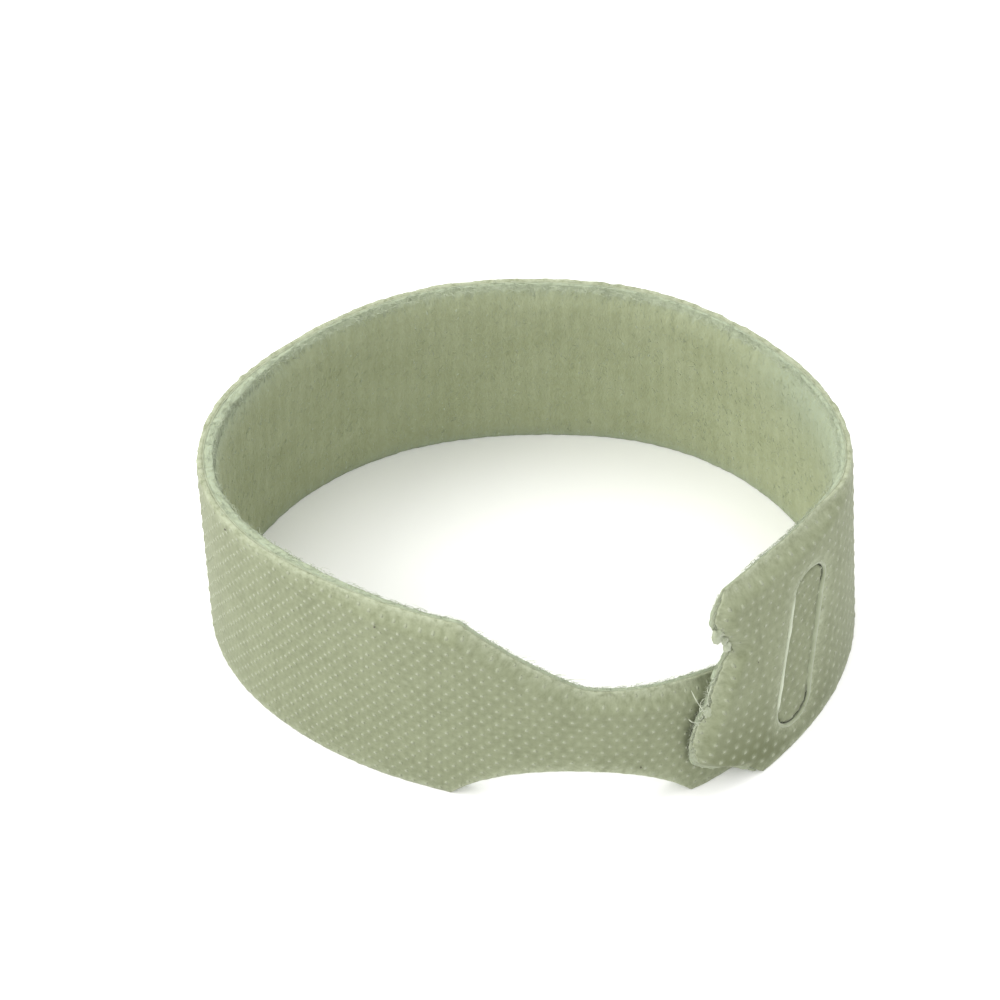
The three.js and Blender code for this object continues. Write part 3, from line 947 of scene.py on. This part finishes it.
# Loops pulled out of the tear, as (along, across, out) of the middle, radius, turns and start angle
CURLS = [
    (148.25, 13.25, 1.60, 0.50, 0.92, 2.6),
    (148.20, 11.95, 1.60, 0.25, 0.85, 0.4),
    (148.75, 11.50, 1.50, 0.20, 0.80, 1.9),
    (147.50, 14.55, 1.40, 0.26, 0.70, 3.4),
    (149.30, 10.40, 1.30, 0.28, 0.75, 5.0),
    (147.00, 15.50, 1.30, 0.24, 0.66, 1.2),
    (148.50, 12.55, 1.40, 0.34, 0.60, 4.2),
]
# Threads pulled out straight, as the (along, across, out) of both ends and the middle
THREADS = [
    ((148.1, 11.6, 1.10), (149.0, 13.4, 1.70), (149.7, 15.9, 1.70)),
    ((147.6, 12.2, 1.10), (148.0, 13.6, 1.60), (147.2, 14.9, 1.50)),
    ((148.6, 10.5, 1.00), (149.6, 10.9, 1.50), (150.1, 12.0, 1.40)),
]


def torn_curls(name):
    t = np.linspace(0, 1, 28)
    paths = []
    for along, across, out, radius, turns, begin in CURLS:
        angle = begin + t * turns * 2 * math.pi
        grow = radius * (0.85 + 0.3 * t)
        rise = 0.22 * np.sin(math.pi * t)
        curl = [along + grow * np.cos(angle), across + grow * np.sin(angle), out + rise]
        paths.append(np.column_stack(curl))
    for a, b, c in THREADS:
        a, b, c = np.array(a), np.array(b), np.array(c)
        u = t[:, None]
        paths.append(a * (1 - u) ** 2 + 2 * b * u * (1 - u) + c * u**2)
    radii = 0.058 * (0.8 + 0.2 * np.sin(t * 9)) * np.minimum(1, 0.45 + 4 * np.minimum(t, 1 - t))
    return tube_object(name, np.array(paths), radii, 6, TORN_FIBRE, np.linspace(0.5, 1, len(paths)))


# Swollen scraps of the tape's backing on the torn edge: (along, across, out), and half sizes the same way
LUMPS = [
    ((145.75, 20.60, 0.70), (0.62, 0.95, 0.90)),
    ((144.95, 19.60, 1.00), (0.30, 0.62, 0.80)),
    ((144.60, 18.40, 0.90), (0.45, 0.75, 0.85)),
    ((147.75, 11.30, 0.60), (0.50, 0.60, 0.60)),
]


def torn_lumps(name):
    """Scraps as rounded closed blobs with an uneven surface."""
    tilt, turn = ball_angles(20, 14, 0.08)
    ball = np.stack([np.sin(tilt) * np.cos(turn), np.cos(tilt), np.sin(tilt) * np.sin(turn)], -1)
    blobs = []
    for number, (centre, half) in enumerate(LUMPS):
        rough = 1 + 0.55 * cloud(ball[..., 0] * 2.2 + 9 * number, ball[..., 1] * 2.2 + ball[..., 2], 21)
        blobs.append(np.array(centre) + ball * np.array(half) * rough[..., None])
    return blob_object(name, blobs, TORN_FIBRE, [0.25 + 0.1 * (number % 3) for number in range(len(LUMPS))])


def slot_lip(name):
    """The slot's cut edge: raised along the side toward the torn end, with a painted highlight there, and
    thin along the other.
    """
    loop = slot_loop(0.05, 0.12)
    loop = np.vstack([loop, loop[:1]])
    from_middle = loop - SLOT_CENTRE
    forward = from_middle @ SLOT_SIDE
    up = from_middle @ SLOT_AXIS
    reach = smooth((SLOT_REACH + 0.4 - np.abs(up)) / 2.0)
    front, back = smooth(forward / 1.2) * reach, smooth(-forward / 1.2) * reach
    broken = 0.85 + 0.35 * noise(up / 1.1, 0 * up, 31)
    outward = from_middle - np.clip(up, -SLOT_REACH, SLOT_REACH)[:, None] * SLOT_AXIS
    outward /= np.linalg.norm(outward, axis=1, keepdims=True)
    loop = loop - outward * (0.10 + 0.12 * back - 0.10 * front)[:, None]
    radii = 0.20 + 0.05 * front * broken + 0.15 * back
    out = HOOK_FACE + 0.04 + 0.22 * front * broken - radii
    places, blocks, _ = tubes(np.column_stack([loop, out])[None], radii[None], 8)
    # Painted highlight: the lip is made pale along its side toward the torn end, where light catches it.
    return make_object(name, places, blocks, TORN_FIBRE, {"pale": np.repeat(1.2 * front * broken, 8)})


# Specks of dirt on the hook face, as (along, across, radius)
SPECKS = [(25.8, 24.6, 0.13), (7.7, 23.2, 0.11), (-18.8, 5.8, 0.11), (141.9, 15.2, 0.07)]


def specks(name, chosen):
    """Specks as flattened blobs."""
    tilt, turn = ball_angles(10, 6, 0.15)
    ball = np.stack([np.sin(tilt) * np.cos(turn), np.sin(tilt) * np.sin(turn), np.cos(tilt) * 0.6], -1)
    blobs = []
    for number, (along, across, radius) in enumerate(chosen):
        rough = radius * (1 + 0.35 * cloud(ball[..., 0] * 1.5 + 5 * number, ball[..., 1] * 1.5, 23))
        blobs.append(np.array([along, across, HOOK_FACE + 0.12]) + ball * rough[..., None])
    return blob_object(name, blobs, DIRT, [0.3] * len(chosen))


# ------------ assembly

# Each stretch: name, its start and end, the CAD nodes it stands for, and how it moves
STRETCHES = [
    ("tail", TAIL_TIP, LEFT_SEAM, "tail", ("band", "tail", -8.5, -16.0)),
    ("band", LEFT_SEAM, RIGHT_SEAM, "band", ("band",)),
    ("peel", RIGHT_SEAM, HEAD_SEAM, "head_root", ("band", "head_root", 117.5, 124.6)),
    ("head", HEAD_SEAM, HEAD_END, "head_tip", ("head_root", "head_tip", 125.4, 130.6)),
]


def fasten(obj, motion):
    """Moves a piece with one body; a piece that spans the joint between two has its transform baked and is
    left unbent.
    """
    if len(motion) == 1:
        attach(obj, motion[0])
    else:
        first, second, start, end = motion
        strap_point(start, WIDTH / 2)
        strap_point(end, WIDTH / 2)
        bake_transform(obj)


def build_stretch(number, name, start, end, cad, motion):
    """One stretch: its three layers and what grows on each, with the CAD layers they replace hidden."""
    seams = [s for s in (start, end) if s in (LEFT_SEAM, RIGHT_SEAM, HEAD_SEAM)]
    if name == "head":
        hook_flat = head_flat(-0.35, 0.35, 50)
        film_flat = head_flat(0.10, 0.45, 53, 0.05, 0.5)
        pile_flat = head_flat(-0.05, 0.55, 56, -0.08)
    else:
        hook_flat = pile_flat = stretch_flat(start, end, seams)
        film_flat = stretch_flat(start, end, seams, 0.7)
    hook_back, film_face, film_back = level(HOOK_BACK), level(FILM_FACE), level(FILM_BACK)
    pile_back = level(PILE_BACK)
    hook = ply(f"{name}_hook_cloth", hook_flat, hook_face, hook_back, HOOK_CLOTH, HOOK_RIM, 0.03)
    film = ply(f"{name}_bond_sheet", film_flat, film_face, film_back, FILM, FILM_RIM)
    pile = ply(f"{name}_pile_cloth", pile_flat, pile_back, pile_face, PILE_CLOTH, PILE_RIM, 0.05)
    on_hook = [hooks(f"{name}_hooks", start, end, 100 + number)]
    on_film = []
    on_pile = [
        pile_fibres(f"{name}_pile_fibres", start, end, 3.0, 200 + number),
        knots(f"{name}_pile_knots", start, end, 300 + number),
        rim_fuzz(f"{name}_rim_fuzz", start, min(end, 142), 26.0, 400 + number),
    ]
    if name == "head":
        on_film += [torn_fibres("torn_fibres", 501), torn_curls("torn_curls"), torn_lumps("torn_lumps")]
        on_hook += [slot_lip("slot_lip"), specks("head_specks", SPECKS[3:])]
    if name == "tail":
        on_hook += [specks("tail_specks", SPECKS[:3])]
    for obj, flat, extras, slot, cad_layer in (
        (hook, hook_flat, on_hook, "hook_tape", "hook_ply"),
        (film, film_flat, on_film, "bond", "bond_film"),
        (pile, pile_flat, on_pile, "pile_tape", "pile_ply"),
    ):
        for piece in [obj, *extras]:
            fasten(piece, motion)
        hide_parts(f"{cad}_{cad_layer}")
        flat.area()


for number, row in enumerate(STRETCHES):
    build_stretch(number, *row)


# ------------ floor, light and camera


def floor():
    mesh = bpy.data.meshes.new("floor")
    half = 3.0
    corners = [(-half, -half, 0), (half, -half, 0), (half, half, 0), (-half, half, 0)]
    mesh.from_pydata(corners, [], [(0, 1, 2, 3)])
    material, tree, shader = new_material("floor_paper", Roughness=0.9, Specular_IOR_Level=0.1)
    coordinates = node(tree, "ShaderNodeTexCoord").outputs["Object"]
    grain = remap(tree, clouds(tree, coordinates, 60.0, 3.0), 0.3, 0.7)
    colour = blend_colour(tree, grain, (0.93, 0.93, 0.925, 1), (0.95, 0.95, 0.945, 1))
    tree.links.new(colour, shader.inputs["Base Color"])
    mesh.materials.append(material)
    obj = bpy.data.objects.new("floor", mesh)
    obj.location.z = -0.0001
    bpy.context.scene.collection.objects.link(obj)


def area_light(name, location, size, power, colour=(1, 1, 1)):
    light = bpy.data.lights.new(name, "AREA")
    light.shape = "DISK"
    light.size, light.energy, light.color = size, power, colour
    obj = bpy.data.objects.new(name, light)
    obj.location = location
    obj.rotation_euler = (Vector((0, 0, 0.012)) - Vector(location)).to_track_quat("-Z", "Y").to_euler()
    bpy.context.scene.collection.objects.link(obj)


def world(strength):
    made = bpy.data.worlds.new("studio")
    made.use_nodes = True
    background = made.node_tree.nodes["Background"]
    background.inputs["Color"].default_value = (1.0, 1.0, 1.0, 1)
    background.inputs["Strength"].default_value = strength
    bpy.context.scene.world = made


CAMERA_ELEVATION = math.radians(51.975)
CAMERA_TARGET = Vector((-0.00330, 0.00568, 0.01016))
CAMERA_DISTANCE = 0.41123
CAMERA_LENS = 147.9


def camera():
    data = bpy.data.cameras.new("camera")
    data.lens, data.sensor_width = CAMERA_LENS, 36.0
    data.clip_start, data.clip_end = 0.01, 20.0
    obj = bpy.data.objects.new("camera", data)
    back = Vector((0, -math.cos(CAMERA_ELEVATION), math.sin(CAMERA_ELEVATION)))
    obj.location = CAMERA_TARGET + back * CAMERA_DISTANCE
    obj.rotation_euler = (math.pi / 2 - CAMERA_ELEVATION, 0, 0)
    bpy.context.scene.collection.objects.link(obj)
    bpy.context.scene.camera = obj


floor()
world(1.1)
area_light("key", (-0.85, -0.15, 0.75), 0.8, 8.5, (1.0, 0.99, 0.965))
area_light("fill", (-0.15, -0.75, 0.95), 0.7, 1.9)
area_light("top", (0.05, 0.30, 1.15), 0.8, 5.5)
camera()
bpy.context.scene.view_settings.view_transform = "Standard"
